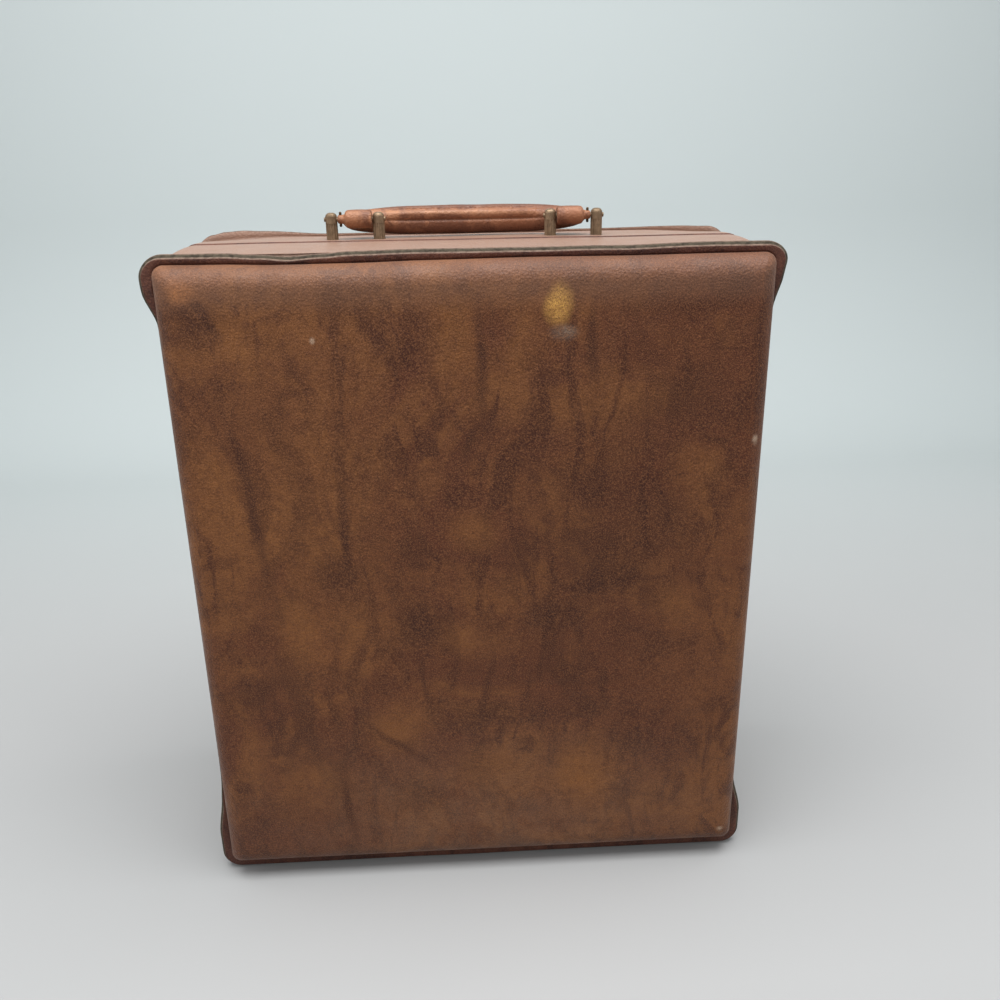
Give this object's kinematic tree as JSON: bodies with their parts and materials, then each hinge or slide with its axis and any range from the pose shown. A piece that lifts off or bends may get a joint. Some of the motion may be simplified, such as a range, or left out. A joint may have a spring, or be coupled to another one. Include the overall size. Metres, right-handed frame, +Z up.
{
  "type": "travel bar case",
  "caption": "Upright vinyl travel bar case that opens like a book, with a folding top handle, side latches, bottle wells and a cup rack.",
  "frame": {"origin": "middle of the footprint, on the surface that the case stands on", "axes": "+Z up towards the handle, +Y through the case towards the half that carries the handle, +X towards the hinges"},
  "size_m": [0.345, 0.156, 0.4135],
  "materials": {
    "vinyl": "mottled brown grained vinyl, satin",
    "welt_core": "dark grey-green fibre edge",
    "lining": "napped lining on board",
    "elastic": "woven elastic",
    "steel": "plain steel strip",
    "lip_board": "dark brown moulded lip",
    "brass": "antique brass, dulled"
  },
  "bodies": {
    "body": {"body_band": "vinyl", "body_lining": "lining", "body_lip": "lip_board", "bottle_divider_left": "lining", "bottle_divider_right": "lining", "bottle_strap": "vinyl", "handle_mount_plate": "steel", "handle_post_inner_left": "brass", "handle_post_inner_right": "brass", "handle_post_outer_left": "brass", "handle_post_outer_right": "brass", "hasp_pin_lower": "brass", "hasp_pin_upper": "brass", "hinge_leaf_body_lower": "brass", "hinge_leaf_body_upper": "brass", "hinge_pin_lower": "brass", "hinge_pin_upper": "brass", "hinge_rivets_body": "brass", "lock_plate_lower": "brass", "lock_plate_upper": "brass", "lock_rivets": "brass", "rear_shell": "vinyl", "rear_welt_core": "welt_core", "strap_snaps": "brass"},
    "lid": {"front_shell": "vinyl", "front_welt_core": "welt_core", "lid_band": "vinyl", "lid_lining": "lining", "cup_rack": "lining", "tool_board": "lining", "tool_loops": "elastic", "hinge_leaf_lid_upper": "brass", "hinge_leaf_lid_lower": "brass", "hinge_rivets_lid": "brass", "keeper_upper": "brass", "keeper_lower": "brass", "keeper_rivets": "brass"},
    "handle": {"handle_grip": "vinyl", "handle_pin_left": "brass", "handle_pin_right": "brass", "handle_rivets": "brass"},
    "upper_hasp": {"hasp_upper": "brass"},
    "lower_hasp": {"hasp_lower": "brass"},
    "upper_button": {"latch_button_upper": "brass"},
    "lower_button": {"latch_button_lower": "brass"}
  },
  "joints": [
    {"name": "lid_hinge", "type": "hinge", "parent": "body", "child": "lid", "pos_m": [0.1688, 0, 0.1975], "axis": [0, 0, 1], "range_deg": [0, 165]},
    {"name": "handle_fold", "type": "hinge", "parent": "body", "child": "handle", "pos_m": [0, 0.012, 0.407], "axis": [1, 0, 0], "range_deg": [0, 180]},
    {"name": "upper_hasp_hinge", "type": "hinge", "parent": "body", "child": "upper_hasp", "pos_m": [-0.1691, 0.0064, 0.29], "axis": [0, 0, -1], "range_deg": [0, 110]},
    {"name": "upper_button_slide", "type": "slide", "parent": "body", "child": "upper_button", "axis": [0, 0, 1], "range_m": [0, 0.004], "stiffness_N_per_m": 150},
    {"name": "lower_hasp_hinge", "type": "hinge", "parent": "body", "child": "lower_hasp", "pos_m": [-0.1691, 0.0064, 0.105], "axis": [0, 0, -1], "range_deg": [0, 110]},
    {"name": "lower_button_slide", "type": "slide", "parent": "body", "child": "lower_button", "axis": [0, 0, 1], "range_m": [0, 0.004], "stiffness_N_per_m": 150}
  ]
}
